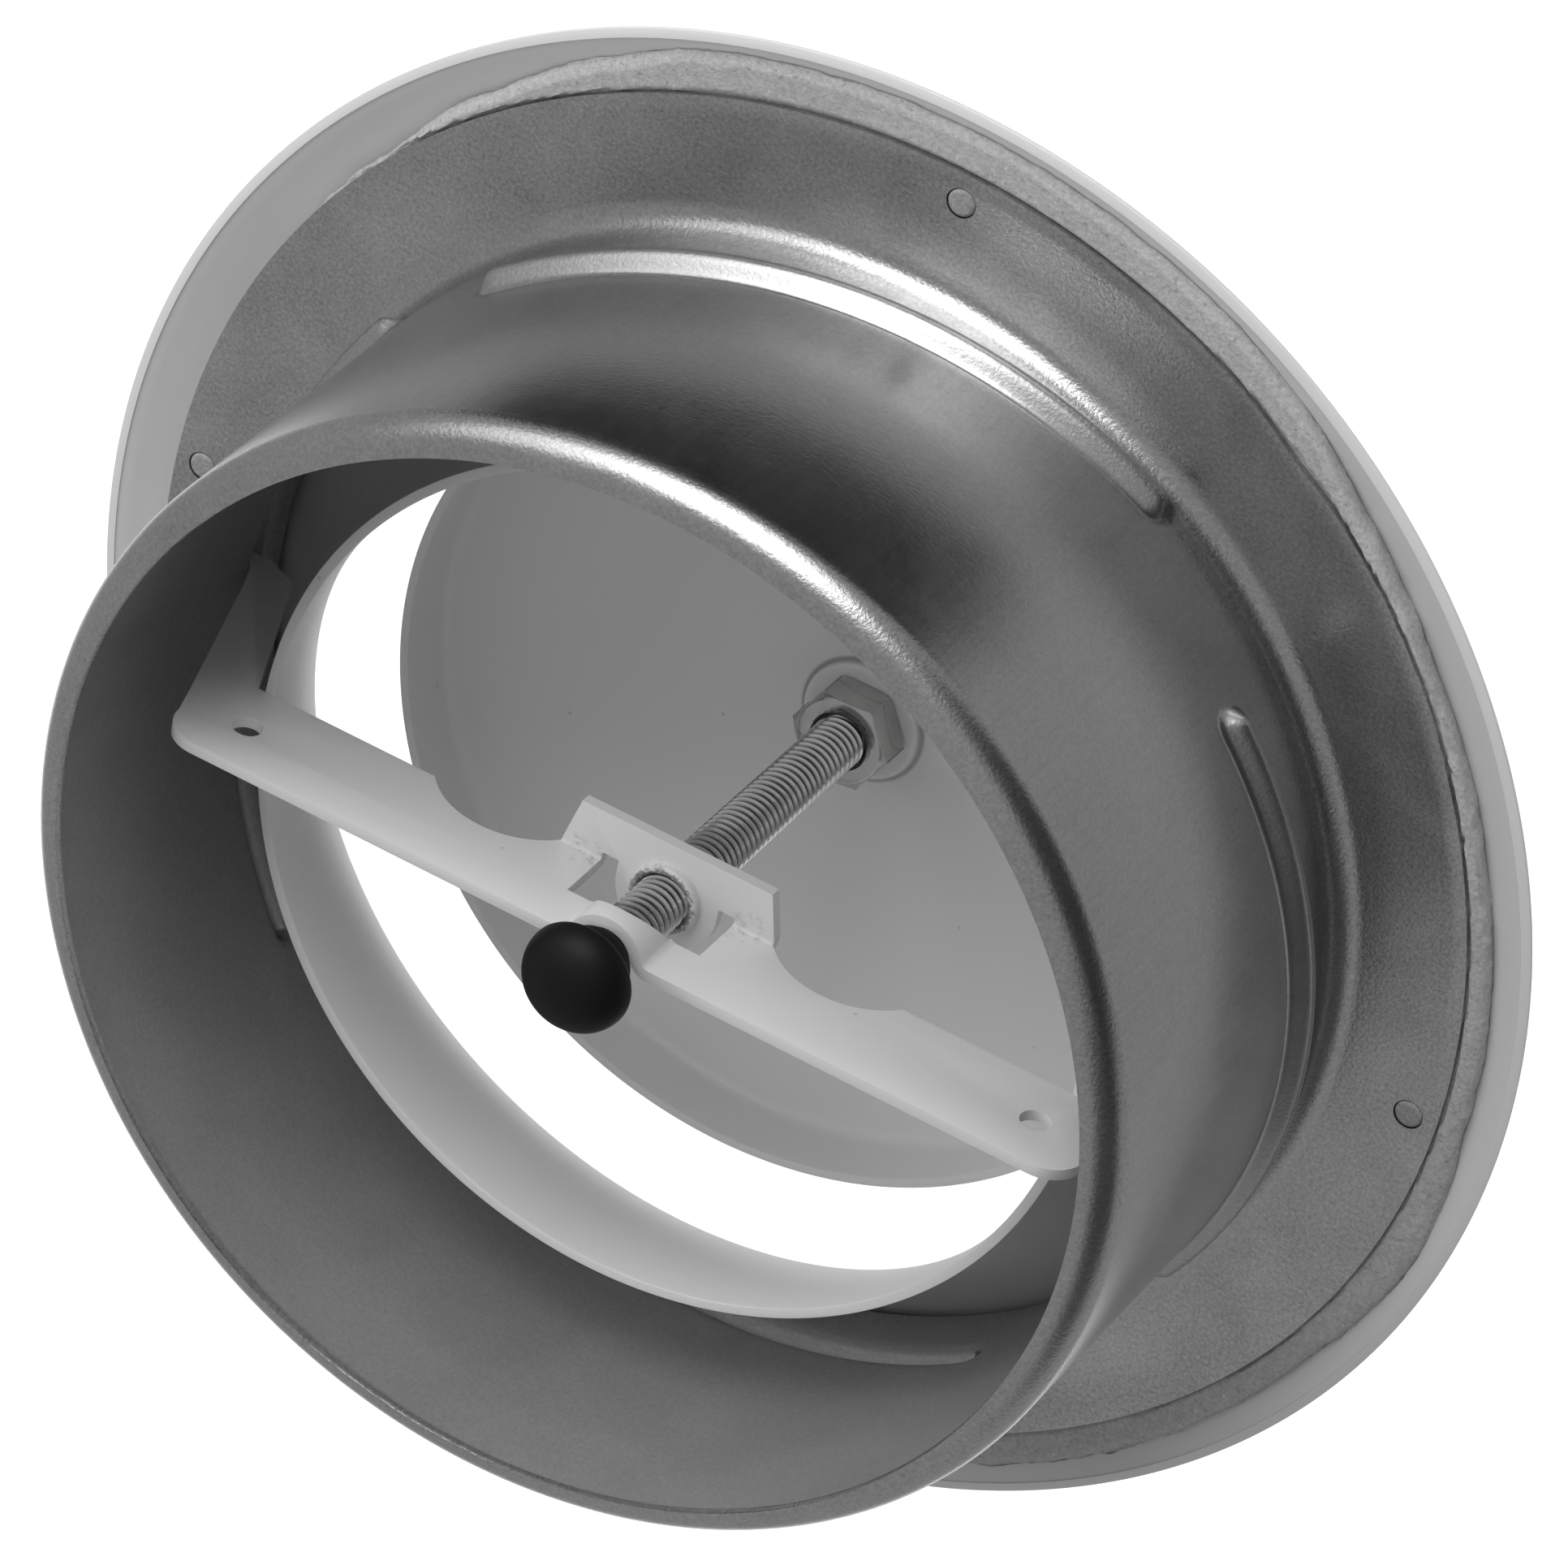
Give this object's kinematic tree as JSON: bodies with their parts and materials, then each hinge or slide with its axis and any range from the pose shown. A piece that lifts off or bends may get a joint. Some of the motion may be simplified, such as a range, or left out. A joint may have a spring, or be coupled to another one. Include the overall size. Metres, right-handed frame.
{
  "type": "extract disc valve",
  "caption": "Round metal extract valve with a bayonet wall collar, bell-mouthed ring, foam gasket and a disc on a screw spindle in a sheet bridge.",
  "frame": {"origin": "on the valve's axis in the wall plane, which the back of the collar's flange touches, at the centre of the flange's fixing holes", "axes": "+Z along the axis into the duct, X along the bridge, Y across it towards the bridge's folded platform"},
  "size_m": [0.167, 0.167, 0.0655],
  "materials": {
    "galvanised_steel": "satin galvanised sheet with fine grain",
    "white_paint": "semi-gloss white powder coat",
    "foam": "open-cell foam strip",
    "zinc_thread": "bright zinc-plated thread",
    "zinc_nut": "bright zinc plate",
    "black_plastic": "soft matt black"
  },
  "bodies": {
    "collar": {"mounting_collar": "galvanised_steel"},
    "gasket": {"foam_gasket": "foam"},
    "ring": {"front_ring": "white_paint", "bridge": "white_paint"},
    "cap": {"end_cap": "black_plastic"},
    "disc": {"spindle": "zinc_thread", "valve_disc": "white_paint", "disc_nut": "zinc_nut"}
  },
  "joints": [
    {"name": "ring_travel", "type": "slide", "parent": "collar", "child": "gasket", "axis": [0, 0, 1], "range_m": [-0.0034, 0]},
    {"name": "ring_turn", "type": "hinge", "parent": "gasket", "child": "ring", "pos_m": [0, 0, 0], "axis": [0, 0, 1], "range_deg": [-30, 0]},
    {"name": "disc_travel", "type": "slide", "parent": "ring", "child": "cap", "axis": [0, 0, 1], "range_m": [-0.0009, 0.0207]},
    {"name": "disc_turn", "type": "hinge", "parent": "cap", "child": "disc", "pos_m": [0, 0, 0], "axis": [0, 0, 1], "range_deg": [-324, 7452]}
  ],
  "couplings": [
    {"joint": "ring_travel", "follows": "ring_turn", "m_per_rad": 0.0063662},
    {"joint": "disc_travel", "follows": "disc_turn", "m_per_rad": 0.00015915}
  ]
}
